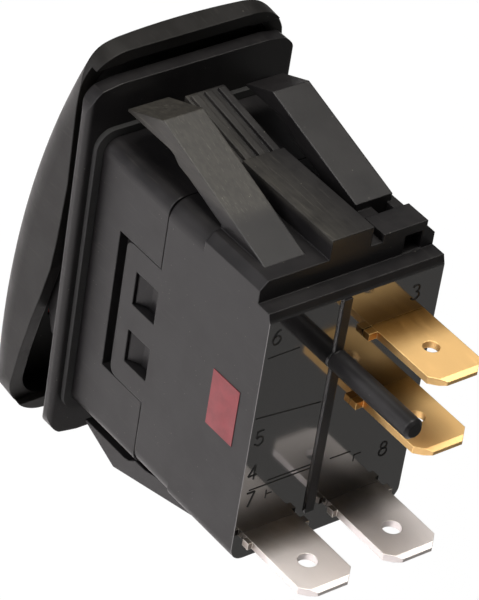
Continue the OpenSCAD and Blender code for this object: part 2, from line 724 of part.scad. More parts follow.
module plunger_spring() color([0.7, 0.7, 0.72]) turn(hinge_y, -tilt) {
    wire = 0.18;
    coil = cup_r - wire - fit * 2;
    first = bore_y + fit + wire;
    last = cup_floor - 0.45 - wire;
    for (i = [0 : coils]) translate([contact_x, first + i * (last - first) / coils, 0])
        rotate([90, 0, 0]) rotate_extrude() translate([coil, 0]) circle(wire, $fn = 16);
    rod_y(contact_x + coil, 0, first, last, wire / 2);
}

module contact_blade() color([0.85, 0.55, 0.35]) turn(axle_y, blade_tilt) difference() {
    union() {
        span([contact_x - blade_w / 2, blade_y, -blade_h],
            [contact_x + blade_w / 2, blade_y + blade_t, blade_h]);
        for (s = [-1, 1]) rod_x(axle_y, 0, contact_x + s * 1.6 - 0.5, contact_x + s * 1.6 + 0.5,
            barrel_r);
    }
    rod_x(axle_y, 0, contact_x - 3, contact_x + 3, axle_r + run_clear);
}

module moving_contact() color([0.85, 0.85, 0.86]) turn(axle_y, blade_tilt)
    rod_y(contact_x, button_z, blade_y + blade_t + 0.005, blade_y + blade_t + button_t, button_r);

base_housing();
bezel_frame();
panel_gasket();
seal_diaphragm();
hinge_pin_left();
hinge_pin_right();
terminal_2();
terminal_3();
terminal_7();
terminal_8();
fixed_contact();
lamp_holder();
led_lamp();
lamp_lead_a();
lamp_lead_b();
resistor();
red_mark();
rocker();
lens_upper();
lens_lower();
plunger_spring();
plunger();
contact_blade();
moving_contact();
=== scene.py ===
"""Looks of a snap-in panel rocker switch with blade terminals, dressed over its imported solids.

Lengths are in metres, apart from the marks on the rear face, which are in millimetres. The frame is that of
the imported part: X across the switch, Y from the rocker back to the terminals, Z along the rocker.
"""

from __future__ import annotations

import logging
from dataclasses import dataclass
from enum import Enum
from typing import ClassVar, Iterable, Sequence

import bpy
import numpy as np
from mathutils import Matrix, Vector


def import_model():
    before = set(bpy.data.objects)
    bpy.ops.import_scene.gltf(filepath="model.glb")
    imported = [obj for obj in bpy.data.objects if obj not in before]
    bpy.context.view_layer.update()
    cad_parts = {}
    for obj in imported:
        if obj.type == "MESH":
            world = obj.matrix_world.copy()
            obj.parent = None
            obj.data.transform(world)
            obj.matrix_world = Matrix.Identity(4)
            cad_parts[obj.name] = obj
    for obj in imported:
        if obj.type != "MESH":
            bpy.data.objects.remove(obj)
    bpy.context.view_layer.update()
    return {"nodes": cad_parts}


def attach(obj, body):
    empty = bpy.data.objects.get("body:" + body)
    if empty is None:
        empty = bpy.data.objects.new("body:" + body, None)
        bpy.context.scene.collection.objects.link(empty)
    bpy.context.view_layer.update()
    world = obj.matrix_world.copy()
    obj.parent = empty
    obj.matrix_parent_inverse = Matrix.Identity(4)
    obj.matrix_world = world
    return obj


LOG = logging.getLogger("rocker_switch")
MM = 0.001
WHITE = (1.0, 1.0, 1.0, 1.0)

# Depth of the base's flat rear face, which the blades and the raised marks stand on.
REAR_FACE_MM = 27.7

Colour = tuple[float, float, float]
Point = tuple[float, float, float]
Socket = bpy.types.NodeSocket


def srgb(red: int, green: int, blue: int) -> Colour:
    """Turns a screen colour into linear light.

    Args:
        red: Red from 0 to 255.
        green: Green from 0 to 255.
        blue: Blue from 0 to 255.

    Returns:
        The same colour as three linear values from 0 to 1.
    """
    scaled = np.array([red, green, blue], dtype=float) / 255.0
    linear = np.where(scaled <= 0.04045, scaled / 12.92, ((scaled + 0.055) / 1.055) ** 2.4)
    return tuple(float(value) for value in linear)


# --------------------------------------------------------------------------- node helpers


class NodeSheet:
    """Adds nodes to a tree and wires them by name."""

    def __init__(self, tree: bpy.types.NodeTree) -> None:
        """Starts on a tree that has no nodes.

        Args:
            tree: The node tree to fill.
        """
        self.tree = tree
        self.tree.nodes.clear()

    def add(self, kind: str, **settings: object) -> bpy.types.Node:
        """Adds one node and sets its properties.

        Args:
            kind: Blender's name for the node type.
            **settings: Property values to set on it.

        Returns:
            The new node.
        """
        node = self.tree.nodes.new(kind)
        for name, value in settings.items():
            setattr(node, name, value)
        return node

    def link(self, source: Socket, target: Socket) -> None:
        """Joins an output to an input."""
        self.tree.links.new(source, target)

    def feed(self, target: Socket, value: object) -> None:
        """Sets an input to a constant, or links it to a socket.

        Args:
            target: The input to fill.
            value: A number, a vector, a colour or an output socket.
        """
        if isinstance(value, Socket):
            self.link(value, target)
        elif target.type == "RGBA" and isinstance(value, (tuple, list)) and len(value) == 3:
            target.default_value = (*value, 1.0)
        else:
            target.default_value = value

    def math(self, operation: str, *values: object, clamp: bool = False) -> Socket:
        """Adds a Math node.

        Args:
            operation: The Math node's operation.
            *values: Its inputs in order.
            clamp: Whether the result stays within 0 and 1.

        Returns:
            The result's socket.
        """
        node = self.add("ShaderNodeMath", operation=operation, use_clamp=clamp)
        for socket, value in zip(node.inputs, values):
            self.feed(socket, value)
        return node.outputs[0]

    def ramp(self, value: object, low: object, high: object, to_low: object = 0.0,
             to_high: object = 1.0) -> Socket:
        """Maps a value smoothly from one range to another.

        Args:
            value: The value to map.
            low: Where the first range starts.
            high: Where the first range ends.
            to_low: The result at low.
            to_high: The result at high.

        Returns:
            The result's socket.
        """
        node = self.add("ShaderNodeMapRange", interpolation_type="SMOOTHSTEP", clamp=True)
        for name, number in zip(("Value", "From Min", "From Max", "To Min", "To Max"),
                                (value, low, high, to_low, to_high)):
            self.feed(node.inputs[name], number)
        return node.outputs["Result"]

    def mix(self, factor: object, first: object, second: object) -> Socket:
        """Mixes two colours.

        Args:
            factor: Share of the second colour.
            first: The colour at 0.
            second: The colour at 1.

        Returns:
            The mixed colour's socket.
        """
        node = self.add("ShaderNodeMix", data_type="RGBA")
        self.feed(node.inputs[0], factor)
        self.feed(node.inputs[6], first)
        self.feed(node.inputs[7], second)
        return node.outputs[2]

    def blend(self, factor: object, first: object, second: object) -> Socket:
        """Blends two numbers.

        Args:
            factor: Share of the second number.
            first: The number at 0.
            second: The number at 1.

        Returns:
            The blended number's socket.
        """
        node = self.add("ShaderNodeMix", data_type="FLOAT")
        for socket, value in zip(node.inputs[:1] + node.inputs[2:4], (factor, first, second)):
            self.feed(socket, value)
        return node.outputs[0]

    def noise(self, vector: object, scale: object, detail: float,
              roughness: float = 0.55) -> Socket:
        """Adds a noise texture.

        Args:
            vector: The coordinates to read.
            scale: Cells to one unit of the coordinates.
            detail: Number of finer layers.
            roughness: Strength of the finer layers.

        Returns:
            The noise's value from 0 to 1.
        """
        node = self.add("ShaderNodeTexNoise", noise_dimensions="3D")
        self.feed(node.inputs["Vector"], vector)
        for name, number in (("Scale", scale), ("Detail", detail), ("Roughness", roughness)):
            self.feed(node.inputs[name], number)
        return node.outputs["Fac"]

    def stretched(self, vector: object, scale: Sequence[float],
                  turn: Sequence[float] = (0.0, 0.0, 0.0)) -> Socket:
        """Turns and stretches coordinates.

        Args:
            vector: The coordinates to change.
            scale: Stretch on each axis.
            turn: Rotation about each axis, in radians.

        Returns:
            The changed coordinates.
        """
        node = self.add("ShaderNodeMapping")
        self.feed(node.inputs["Vector"], vector)
        node.inputs["Scale"].default_value = tuple(scale)
        node.inputs["Rotation"].default_value = tuple(turn)
        return node.outputs["Vector"]

    def axes(self, vector: Socket) -> bpy.types.NodeOutputs:
        """Splits coordinates.

        Args:
            vector: The coordinates to split.

        Returns:
            The outputs named X, Y and Z.
        """
        node = self.add("ShaderNodeSeparateXYZ")
        self.link(vector, node.inputs[0])
        return node.outputs

    def split_by_ray(self, lit: bpy.types.Node, seen: bpy.types.Node, share: float = 1.0) -> Socket:
        """Shows one shader to the camera and another to every other ray.

        Args:
            lit: The shader that lights the scene.
            seen: The shader that the camera sees.
            share: How much of the second the camera sees.

        Returns:
            The joined shader's socket.
        """
        path = self.add("ShaderNodeLightPath")
        mix = self.add("ShaderNodeMixShader")
        self.feed(mix.inputs[0], self.math("MULTIPLY", path.outputs["Is Camera Ray"], share))
        self.link(lit.outputs[0], mix.inputs[1])
        self.link(seen.outputs[0], mix.inputs[2])
        return mix.outputs[0]


class Effect(Enum):
    """The surface effects that several finishes share."""

    GRAIN = "mould_grain"
    SCRATCHES = "fine_scratches"
    SPECKS = "bright_specks"
    # Edges with a painted highlight: a mask for it and a rounded normal.
    EDGES = "edges_with_painted_highlight"


class EffectLibrary:
    """Builds each shared effect once, as a node group, and places it in materials.

    Attributes:
        MOTTLES: Mottles to the metre in the grain.
        HAIRLINE_STRETCH: Cells to the metre on each axis in the noise that makes hairlines.
        HAIRLINE_TURNS: The turn of each layer of hairlines, in radians.
        SPECK_CELLS: Cells to the metre in the dust, of which few are lit.
        EDGE_SAMPLES: Rays that find a rounded normal.
    """

    MOTTLES: ClassVar[float] = 260.0
    HAIRLINE_STRETCH: ClassVar[Point] = (7200.0, 260.0, 3600.0)
    HAIRLINE_TURNS: ClassVar[tuple[Point, ...]] = ((0.0, 0.0, 0.12), (0.1, 0.0, -0.2), (-0.15, 0.0, 0.05))
    SPECK_CELLS: ClassVar[float] = 2600.0
    EDGE_SAMPLES: ClassVar[int] = 6

    def __init__(self) -> None:
        """Makes every group."""
        makers = {
            Effect.GRAIN: self._mould_grain,
            Effect.SCRATCHES: self._fine_scratches,
            Effect.SPECKS: self._bright_specks,
            Effect.EDGES: self._edges_with_painted_highlight,
        }
        self.groups = {effect: make() for effect, make in makers.items()}

    def place(self, sheet: NodeSheet, effect: Effect, **values: object) -> bpy.types.Node:
        """Puts an effect in a material.

        Args:
            sheet: The material's nodes.
            effect: Which effect.
            **values: Its inputs, by their names in small letters.

        Returns:
            The group node.
        """
        node = sheet.add("ShaderNodeGroup", node_tree=self.groups[effect])
        for name, value in values.items():
            sheet.feed(node.inputs[name.capitalize()], value)
        return node

    @staticmethod
    def _start(name: str, inputs: Iterable[tuple[str, str, object]],
               outputs: Iterable[tuple[str, str]]) -> tuple[NodeSheet, bpy.types.Node, bpy.types.Node]:
        """Makes an empty group with its sockets.

        Args:
            name: The group's name.
            inputs: Name, socket type and default value of each input.
            outputs: Name and socket type of each output.

        Returns:
            The group's sheet, its input node and its output node.
        """
        tree = bpy.data.node_groups.new(name, "ShaderNodeTree")
        for label, kind, value in inputs:
            socket = tree.interface.new_socket(label, in_out="INPUT", socket_type=kind)
            if value is not None:
                socket.default_value = value
        for label, kind in outputs:
            tree.interface.new_socket(label, in_out="OUTPUT", socket_type=kind)
        sheet = NodeSheet(tree)
        return sheet, sheet.add("NodeGroupInput"), sheet.add("NodeGroupOutput")

    def _mould_grain(self) -> bpy.types.NodeTree:
        """Fine spark-eroded grain: two layers of noise, as a height and a mottle.

        Returns:
            The group.
        """
        sheet, given, result = self._start(
            Effect.GRAIN.value,
            [("Position", "NodeSocketVector", None), ("Scale", "NodeSocketFloat", 9000.0)],
            [("Height", "NodeSocketFloat"), ("Mottle", "NodeSocketFloat")])
        fine = sheet.noise(given.outputs["Position"], given.outputs["Scale"], 2.0)
        broad = sheet.noise(given.outputs["Position"], self.MOTTLES, 4.0, 0.6)
        sheet.link(fine, result.inputs["Height"])
        sheet.link(sheet.ramp(broad, 0.3, 0.7), result.inputs["Mottle"])
        return sheet.tree

    def _fine_scratches(self) -> bpy.types.NodeTree:
        """Sparse hairlines that run mostly along Y: thin bands of stretched noise.

        Returns:
            The group.
        """
        sheet, given, result = self._start(
            Effect.SCRATCHES.value,
            [("Position", "NodeSocketVector", None), ("Amount", "NodeSocketFloat", 0.5)],
            [("Mask", "NodeSocketFloat")])
        total: object = 0.0
        for turn in self.HAIRLINE_TURNS:
            lined = sheet.stretched(given.outputs["Position"], self.HAIRLINE_STRETCH, turn)
            band = sheet.noise(lined, 1.0, 1.0, 0.4)
            total = sheet.math("MAXIMUM", total, sheet.ramp(band, 0.68, 0.76))
        sheet.link(sheet.math("MULTIPLY", total, given.outputs["Amount"]), result.inputs["Mask"])
        return sheet.tree

    def _bright_specks(self) -> bpy.types.NodeTree:
        """Tiny dust specks: cells of a Voronoi pattern of which few are lit.

        Returns:
            The group.
        """
        sheet, given, result = self._start(
            Effect.SPECKS.value,
            [("Position", "NodeSocketVector", None), ("Amount", "NodeSocketFloat", 0.5)],
            [("Mask", "NodeSocketFloat")])
        cells = sheet.add("ShaderNodeTexVoronoi", feature="F1")
        sheet.link(given.outputs["Position"], cells.inputs["Vector"])
        cells.inputs["Scale"].default_value = self.SPECK_CELLS
        spot = sheet.ramp(cells.outputs["Distance"], 0.2, 0.08)
        split = sheet.add("ShaderNodeSeparateColor")
        sheet.link(cells.outputs["Color"], split.inputs["Color"])
        few = sheet.ramp(split.outputs["Red"], 0.975, 0.985)
        lit = sheet.math("MULTIPLY", spot, few)
        sheet.link(sheet.math("MULTIPLY", lit, given.outputs["Amount"]), result.inputs["Mask"])
        return sheet.tree

    def _edges_with_painted_highlight(self) -> bpy.types.NodeTree:
        """Softened edges: where a rounded normal departs from the true one. Its mask is where the finishes
        paint a highlight on the edges, and its normal rounds their shading.

        Returns:
            The group.
        """
        sheet, given, result = self._start(
            Effect.EDGES.value,
            [("Radius", "NodeSocketFloat", 0.0003), ("Amount", "NodeSocketFloat", 0.5)],
            [("Mask", "NodeSocketFloat"), ("Normal", "NodeSocketVector")])
        bevel = sheet.add("ShaderNodeBevel", samples=self.EDGE_SAMPLES)
        sheet.link(given.outputs["Radius"], bevel.inputs["Radius"])
        true = sheet.add("ShaderNodeNewGeometry")
        dot = sheet.add("ShaderNodeVectorMath", operation="DOT_PRODUCT")
        sheet.link(bevel.outputs["Normal"], dot.inputs[0])
        sheet.link(true.outputs["True Normal"], dot.inputs[1])
        mask = sheet.ramp(dot.outputs["Value"], 0.995, 0.8)
        sheet.link(sheet.math("MULTIPLY", mask, given.outputs["Amount"]), result.inputs["Mask"])
        sheet.link(bevel.outputs["Normal"], result.inputs["Normal"])
        return sheet.tree


# --------------------------------------------------------------------------- finishes


@dataclass(frozen=True)
class Finish:
    """What every finish has: a name and a way to become a material."""

    name: str

    def build(self, library: EffectLibrary) -> bpy.types.Material:
        """Makes the material.

        Args:
            library: The shared effects.

        Returns:
            The finished material.
        """
        material = bpy.data.materials.new(self.name)
        material.use_nodes = True
        sheet = NodeSheet(material.node_tree)
        shader = sheet.add("ShaderNodeBsdfPrincipled")
        output = sheet.add("ShaderNodeOutputMaterial")
        sheet.link(shader.outputs["BSDF"], output.inputs["Surface"])
        place = sheet.add("ShaderNodeTexCoord").outputs["Object"]
        self.dress(sheet, shader, place, library)
        return material

    def dress(self, sheet: NodeSheet, shader: bpy.types.Node, place: Socket,
              library: EffectLibrary) -> None:
        """Wires the finish's nodes into the shader.

        Args:
            sheet: The material's nodes.
            shader: Its Principled shader.
            place: Object coordinates.
            library: The shared effects.
        """
        raise NotImplementedError

    @staticmethod
    def emboss(sheet: NodeSheet, shader: bpy.types.Node, height: Socket, strength: float,
               distance: float, normal: Socket | None = None) -> None:
        """Gives the shader a relief.

        Args:
            sheet: The material's nodes.
            shader: Its Principled shader.
            height: The relief's height from 0 to 1.
            strength: How much of it shows.
            distance: What a height of 1 stands for.
            normal: The normal that the relief starts from, if it isn't the surface's own.
        """
        bump = sheet.add("ShaderNodeBump")
        bump.inputs["Strength"].default_value = strength
        bump.inputs["Distance"].default_value = distance
        sheet.feed(bump.inputs["Height"], height)
        if normal is not None:
            sheet.link(normal, bump.inputs["Normal"])
        sheet.link(bump.outputs["Normal"], shader.inputs["Normal"])

    @staticmethod
    def spread(sheet: NodeSheet, value: Socket, middle: float, width: float) -> Socket:
        """Spreads a value about a middle: middle - width / 2 + width * value.

        Args:
            sheet: The material's nodes.
            value: The value from 0 to 1.
            middle: The result at a half.
            width: The result's whole range.

        Returns:
            The result's socket.
        """
        return sheet.math("MULTIPLY_ADD", value, width, middle - width / 2.0)


@dataclass(frozen=True)
class MouldedPlastic(Finish):
    """Satin moulded plastic with grain, hairlines, dust, and softened edges that carry a painted highlight.

    Attributes:
        colour: The plastic's own tone.
        pale: The tone of its mottles, and of the highlight painted on its edges.
        roughness: The middle of its roughness.
        roughness_spread: How far the mottle spreads the roughness.
        mottle: Share of the pale tone in the mottles.
        grain: Strength of the grain's relief.
        grain_scale: Grains to the metre.
        grain_depth: Depth of the deepest grain.
        scratches: Amount of hairlines.
        scratch_share: How much of its own tone a hairline shows.
        scratch_tone: The tone of a hairline.
        specks: Amount of dust.
        dust_tone: The tone of a dust speck.
        edge_radius: How far an edge is softened.
        edge_painted_highlight: Share of the pale tone painted on an edge as a highlight.
        sheen: Level of the plain reflection.
        gloss_from: Depth at which the polished rear face lies, if there is one.
        gloss_tone: The tone of the polished face.
        gloss_lead: How far before its depth the polish starts.
        gloss_end: How far behind its depth the polish ends.
        coat_ior: Index of the polish.
        coat_roughness: Roughness of the polish.
        painted_light_and_wear_above: Height from which the top is painted paler as light and its hairlines
            are stronger, if it is.
        painted_light_and_wear_fade: Height over which the painted light and the stronger hairlines set in.
        painted_light_and_wear_side: Where they start and are full, across the switch, rising towards +X.
        painted_top_light_tone: The tone of the light painted on the top.
    """

    colour: Colour = srgb(18, 17, 18)
    pale: Colour = srgb(28, 26, 26)
    roughness: float = 0.4
    roughness_spread: float = 0.1
    mottle: float = 0.35
    grain: float = 0.06
    grain_scale: float = 9000.0
    grain_depth: float = 0.05 * MM
    scratches: float = 0.12
    scratch_share: float = 0.6
    scratch_tone: Colour = srgb(96, 93, 86)
    specks: float = 0.15
    dust_tone: Colour = srgb(190, 184, 172)
    edge_radius: float = 0.2 * MM
    edge_painted_highlight: float = 0.3
    sheen: float = 0.3
    gloss_from: float | None = None
    gloss_tone: Colour = srgb(13, 12, 12)
    gloss_lead: float = 0.15 * MM
    gloss_end: float = 0.2 * MM
    coat_ior: float = 2.1
    coat_roughness: float = 0.07
    painted_light_and_wear_above: float | None = None
    painted_light_and_wear_fade: float = 0.8 * MM
    painted_light_and_wear_side: tuple[float, float] = (-3.0 * MM, 4.0 * MM)
    painted_top_light_tone: Colour = srgb(58, 56, 51)

    def dress(self, sheet: NodeSheet, shader: bpy.types.Node, place: Socket,
              library: EffectLibrary) -> None:
        """Wires the plastic.

        Args:
            sheet: The material's nodes.
            shader: Its Principled shader.
            place: Object coordinates.
            library: The shared effects.
        """
        grain = library.place(sheet, Effect.GRAIN, position=place, scale=self.grain_scale)
        lines = library.place(sheet, Effect.SCRATCHES, position=place, amount=self.scratches)
        dust = library.place(sheet, Effect.SPECKS, position=place, amount=self.specks)
        edges = library.place(sheet, Effect.EDGES, radius=self.edge_radius, amount=self.edge_painted_highlight)
        mottle = grain.outputs["Mottle"]
        relief = grain.outputs["Height"]
        marks = lines.outputs["Mask"]
        shade = sheet.mix(sheet.math("MULTIPLY", mottle, self.mottle), self.colour, self.pale)
        # Painted highlight: the edges are painted in the pale tone.
        shade = sheet.mix(edges.outputs["Mask"], shade, self.pale)
        # Painted light: the top is painted paler, more so towards +X where the key lamp stands; the
        # stronger hairlines there are real scratches.
        if self.painted_light_and_wear_above is not None:
            shade, marks = self._paint_light_and_wear(sheet, place, shade, marks)
        marks = sheet.math("MULTIPLY", marks, self.scratch_share, clamp=True)
        shade = sheet.mix(marks, shade, self.scratch_tone)
        shade = sheet.mix(dust.outputs["Mask"], shade, self.dust_tone)
        rough = self.spread(sheet, mottle, self.roughness, self.roughness_spread)
        if self.gloss_from is not None:
            polish, rough = self._polish(sheet, place, rough)
            shade = sheet.mix(polish, shade, self.gloss_tone)
            relief = sheet.math("MULTIPLY", relief, sheet.math("SUBTRACT", 1.0, polish))
            sheet.feed(shader.inputs["Coat Weight"], polish)
            shader.inputs["Coat Roughness"].default_value = self.coat_roughness
            shader.inputs["Coat IOR"].default_value = self.coat_ior
        self.emboss(sheet, shader, relief, self.grain, self.grain_depth, edges.outputs["Normal"])
        sheet.feed(shader.inputs["Base Color"], shade)
        sheet.feed(shader.inputs["Roughness"], rough)
        shader.inputs["IOR"].default_value = 1.5
        shader.inputs["Specular IOR Level"].default_value = self.sheen

    def _paint_light_and_wear(self, sheet: NodeSheet, place: Socket, shade: Socket,
              marks: Socket) -> tuple[Socket, Socket]:
        """Paints light on the top, paler towards +X, and strengthens the hairlines there.

        The share is the product of a rise over height and a rise across the switch, and cloudy noise
        that is drawn out along Y thins the painted light. A hairline is 0.4 of itself where the share is 0
        and 3 times itself where it is full.

        Args:
            sheet: The material's nodes.
            place: Object coordinates.
            shade: The colour before the painted light.
            marks: The hairlines' mask before they are strengthened.

        Returns:
            The colour with the painted light, and the strengthened hairlines' mask.
        """
        axes = sheet.axes(place)
        high = sheet.ramp(axes["Z"], self.painted_light_and_wear_above, self.painted_light_and_wear_above + self.painted_light_and_wear_fade)
        side = sheet.ramp(axes["X"], *self.painted_light_and_wear_side, 0.05, 1.0)
        lit_and_rubbed = sheet.math("MULTIPLY", high, side)
        cloud = sheet.noise(sheet.stretched(place, (2600.0, 420.0, 2600.0)), 1.0, 4.0)
        painted_light_share = sheet.math("MULTIPLY", sheet.ramp(cloud, 0.2, 0.8, 0.3, 0.7), lit_and_rubbed)
        # Painted light: the top is mixed towards the pale tone.
        shade = sheet.mix(painted_light_share, shade, self.painted_top_light_tone)
        marks = sheet.math("MULTIPLY", marks, sheet.math("MULTIPLY_ADD", lit_and_rubbed, 2.6, 0.4))
        return shade, marks

    def _polish(self, sheet: NodeSheet, place: Socket, rough: Socket) -> tuple[Socket, Socket]:
        """Finds the polished face and smooths it, apart from faint smears.

        The polish rises to 1 over the lead before its depth, and ends behind its depth.

        Args:
            sheet: The material's nodes.
            place: Object coordinates.
            rough: The roughness of the plain plastic.

        Returns:
            The polish's mask and the roughness with the polish.
        """
        depth = sheet.axes(place)["Y"]
        rear = sheet.ramp(depth, self.gloss_from - self.gloss_lead, self.gloss_from)
        front = sheet.ramp(depth, self.gloss_from + self.gloss_end, self.gloss_from + self.gloss_lead)
        polish = sheet.math("MULTIPLY", rear, front)
        smear = sheet.noise(sheet.stretched(place, (1.0, 1.0, 0.35), (0.0, 0.5, 0.0)), 420.0, 3.0)
        glossy = sheet.math("MULTIPLY_ADD", sheet.ramp(smear, 0.35, 0.75), 0.1, self.coat_roughness)
        return polish, sheet.blend(polish, rough, glossy)


@dataclass(frozen=True)
class PlatedBlade(Finish):
    """Plated sheet metal: rolled along Y, with painted shade near the root and a painted glint at cut
    edges.

    Attributes:
        colour: The metal's tone towards the tip.
        root: Its darker tone at the root, which is painted shade.
        edge: The glint's tone painted on a cut edge.
        roughness: The middle of its roughness at the root.
        tip_roughness: What the tip adds to it.
        rolled_spread: How far the rolling lines spread it.
        scratch_roughness: What a hairline adds to it.
        scratches: Amount of hairlines.
        edge_radius: How far an edge is softened.
        edge_painted_glint: Share of the painted glint's tone on an edge.
        relief: Strength of the rolling lines' relief.
        relief_depth: Depth of the deepest rolling line.
        fade: Where the painted root shade starts to fade and where it has gone, along the blade.
    """

    colour: Colour = srgb(240, 200, 138)
    root: Colour = srgb(176, 122, 52)
    edge: Colour = srgb(252, 226, 160)
    roughness: float = 0.32
    tip_roughness: float = 0.2
    rolled_spread: float = 0.16
    scratch_roughness: float = 0.12
    scratches: float = 0.5
    edge_radius: float = 0.12 * MM
    edge_painted_glint: float = 0.6
    relief: float = 0.06
    relief_depth: float = 0.03 * MM
    fade: tuple[float, float] = ((REAR_FACE_MM + 0.5) * MM, 33.4 * MM)

    def dress(self, sheet: NodeSheet, shader: bpy.types.Node, place: Socket,
              library: EffectLibrary) -> None:
        """Wires the metal.

        Args:
            sheet: The material's nodes.
            shader: Its Principled shader.
            place: Object coordinates.
            library: The shared effects.
        """
        along = sheet.ramp(sheet.axes(place)["Y"], *self.fade)
        rolled = sheet.noise(sheet.stretched(place, (6000.0, 260.0, 6000.0)), 1.0, 3.0, 0.6)
        cloud = sheet.noise(place, 420.0, 4.0, 0.6)
        edges = library.place(sheet, Effect.EDGES, radius=self.edge_radius, amount=self.edge_painted_glint)
        lines = library.place(sheet, Effect.SCRATCHES, position=place, amount=self.scratches)
        # Painted shade: the blade is painted darker towards its root, with random cloudy variation.
        away_from_root_shade = sheet.math("MULTIPLY_ADD", cloud, 0.3, along, clamp=True)
        shade = sheet.mix(away_from_root_shade, self.root, self.colour)
        # Painted glint: the cut edges are painted in the bright edge tone.
        shade = sheet.mix(edges.outputs["Mask"], shade, self.edge)
        satin = sheet.math("MULTIPLY_ADD", along, self.tip_roughness,
                           self.roughness - self.rolled_spread / 2.0)
        rough = sheet.math("MULTIPLY_ADD", rolled, self.rolled_spread, satin)
        scored = sheet.math("MULTIPLY", lines.outputs["Mask"], self.scratch_roughness)
        self.emboss(sheet, shader, rolled, self.relief, self.relief_depth, edges.outputs["Normal"])
        sheet.feed(shader.inputs["Base Color"], shade)
        sheet.feed(shader.inputs["Roughness"], sheet.math("ADD", rough, scored))
        shader.inputs["Metallic"].default_value = 1.0


@dataclass(frozen=True)
class SimpleGloss(Finish):
    """A plain hard or soft material with faint mottling and eight grains to a mottle.

    Attributes:
        colour: Its tone.
        second: The tone of its mottles.
        roughness: The middle of its roughness.
        roughness_spread: How far the grain spreads it.
        metallic: 1 for a metal and 0 for anything else.
        scale: Mottles to the metre.
        relief: Strength of the grain's relief.
        relief_depth: Depth of the deepest grain.
    """

    GRAINS_PER_MOTTLE: ClassVar[float] = 8.0

    colour: Colour
    second: Colour
    roughness: float
    roughness_spread: float = 0.12
    metallic: float = 0.0
    scale: float = 900.0
    relief: float = 0.03
    relief_depth: float = 0.04 * MM

    def dress(self, sheet: NodeSheet, shader: bpy.types.Node, place: Socket,
              library: EffectLibrary) -> None:
        """Wires the mottled surface.

        Args:
            sheet: The material's nodes.
            shader: Its Principled shader.
            place: Object coordinates.
            library: The shared effects.
        """
        grain = library.place(sheet, Effect.GRAIN, position=place,
                              scale=self.scale * self.GRAINS_PER_MOTTLE)
        cloud = sheet.ramp(sheet.noise(place, self.scale, 4.0, 0.6), 0.3, 0.7)
        sheet.feed(shader.inputs["Base Color"], sheet.mix(cloud, self.colour, self.second))
        rough = self.spread(sheet, grain.outputs["Mottle"], self.roughness, self.roughness_spread)
        sheet.feed(shader.inputs["Roughness"], rough)
        self.emboss(sheet, shader, grain.outputs["Height"], self.relief, self.relief_depth)
        shader.inputs["Metallic"].default_value = self.metallic


class Finishes:
    """Builds every finish once and dresses CAD nodes with them."""

    def __init__(self, nodes: dict[str, bpy.types.Object]) -> None:
        """Keeps the frame's nodes and makes the effects.

        Args:
            nodes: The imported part's nodes by name.
        """
        self.nodes = nodes
        self.library = EffectLibrary()
        self.made: dict[str, bpy.types.Material] = {}

    def material(self, finish: Finish) -> bpy.types.Material:
        """Finds a finish's material, made the first time it is asked for.

        Args:
            finish: The finish.

        Returns:
            Its material.
        """
        if finish.name not in self.made:
            self.made[finish.name] = finish.build(self.library)
        return self.made[finish.name]

    def dress(self, finish: Finish, *names: str) -> None:
        """Gives CAD nodes a finish.

        Args:
            finish: The finish.
            *names: The nodes that get it.
        """
        for name in names:
            for slot in self.nodes[name].material_slots:
                slot.material = self.material(finish)
            LOG.info("dressed %s with %s", name, finish.name)


# --------------------------------------------------------------------------- raised marks


ARC_POINTS = 28
LEG_POINTS = 5


@dataclass(frozen=True)
class Ribbon:
    """A raised line of constant width that lies on the rear face.

    Attributes:
        path: Its middle line, in millimetres across X and Z.
        width: Its width at the foot.
        rise: Its height over the face.
        foot: How far its foot lies under the face.
    """

    path: np.ndarray
    width: float = 0.24
    rise: float = 0.07
    foot: float = 0.02

    def surface(self, plane: float) -> tuple[np.ndarray, np.ndarray]:
        """Carries a trapezoid along the path.

        The section's four corners are path +- width / 2 at plane - foot and path +- width / 4 at
        plane + rise, each set off along the path's normal, which is its tangent turned by 90 degrees.

        Args:
            plane: Depth of the face the line lies on, in millimetres.

        Returns:
            The points (n, 3) in millimetres and the quads (m, 4).
        """
        tangent = np.gradient(self.path, axis=0)
        tangent /= np.maximum(np.linalg.norm(tangent, axis=1, keepdims=True), 1e-9)
        normal = np.column_stack([-tangent[:, 1], tangent[:, 0]])
        reach = np.array([-0.5, -0.25, 0.25, 0.5]) * self.width
        depth = np.array([-self.foot, self.rise, self.rise, -self.foot]) + plane
        flat = self.path[:, None, :] + reach[None, :, None] * normal[:, None, :]
        points = np.stack([flat[..., 0], np.broadcast_to(depth, flat.shape[:2]), flat[..., 1]], axis=-1)
        row, column = np.meshgrid(np.arange(len(self.path) - 1), np.arange(3), indexing="ij")
        first = row * 4 + column
        quads = np.stack([first, first + 1, first + 5, first + 4], axis=-1).reshape(-1, 4)
        return points.reshape(-1, 3), quads


def arc(centre: tuple[float, float], reach: tuple[float, float], start: float, end: float) -> np.ndarray:
    """Points on an ellipse: centre + reach * (cos a, sin a), with a from start to end.

    Args:
        centre: The ellipse's centre.
        reach: Its half width and half height.
        start: The first angle, in degrees.
        end: The last angle, in degrees.

    Returns:
        The points (n, 2).
    """
    angle = np.radians(np.linspace(start, end, ARC_POINTS))
    return np.array(centre) + np.array(reach) * np.column_stack([np.cos(angle), np.sin(angle)])


def line(*corners: tuple[float, float]) -> np.ndarray:
    """A polyline with a few points to a leg, so that its corners stay sharp.

    Args:
        *corners: The polyline's corners in order.

    Returns:
        The points (n, 2).
    """
    legs = [np.linspace(first, second, LEG_POINTS) for first, second in zip(corners, corners[1:])]
    return np.concatenate(legs)


